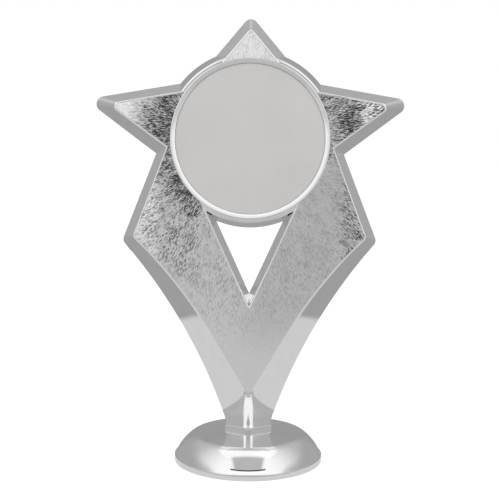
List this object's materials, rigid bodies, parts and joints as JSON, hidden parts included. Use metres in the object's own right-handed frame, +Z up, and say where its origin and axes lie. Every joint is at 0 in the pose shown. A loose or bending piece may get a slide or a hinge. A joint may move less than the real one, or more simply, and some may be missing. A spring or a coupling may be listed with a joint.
{
  "type": "star trophy figure",
  "caption": "Star-shaped silver trophy figure with a round insert holder, a V opening and a tapering stem on a round domed foot.",
  "frame": {"origin": "centre of the underside of the round foot, on the surface it stands on", "axes": "+Z up the stem to the top ray; the face with the insert looks towards -Y; +X is the right-hand arm seen from the front"},
  "size_m": [0.1058, 0.052, 0.1534],
  "materials": {
    "silver_plastic": "polished",
    "insert_silver": "satin",
    "foam": "matte",
    "steel": "satin"
  },
  "bodies": {
    "root": {"front_shell": "silver_plastic", "rear_shell": "silver_plastic", "foot": "silver_plastic", "insert_disc": "insert_silver", "adhesive_pad": "foam", "captive_nut": "steel", "retaining_washer": "steel"}
  },
  "joints": []
}
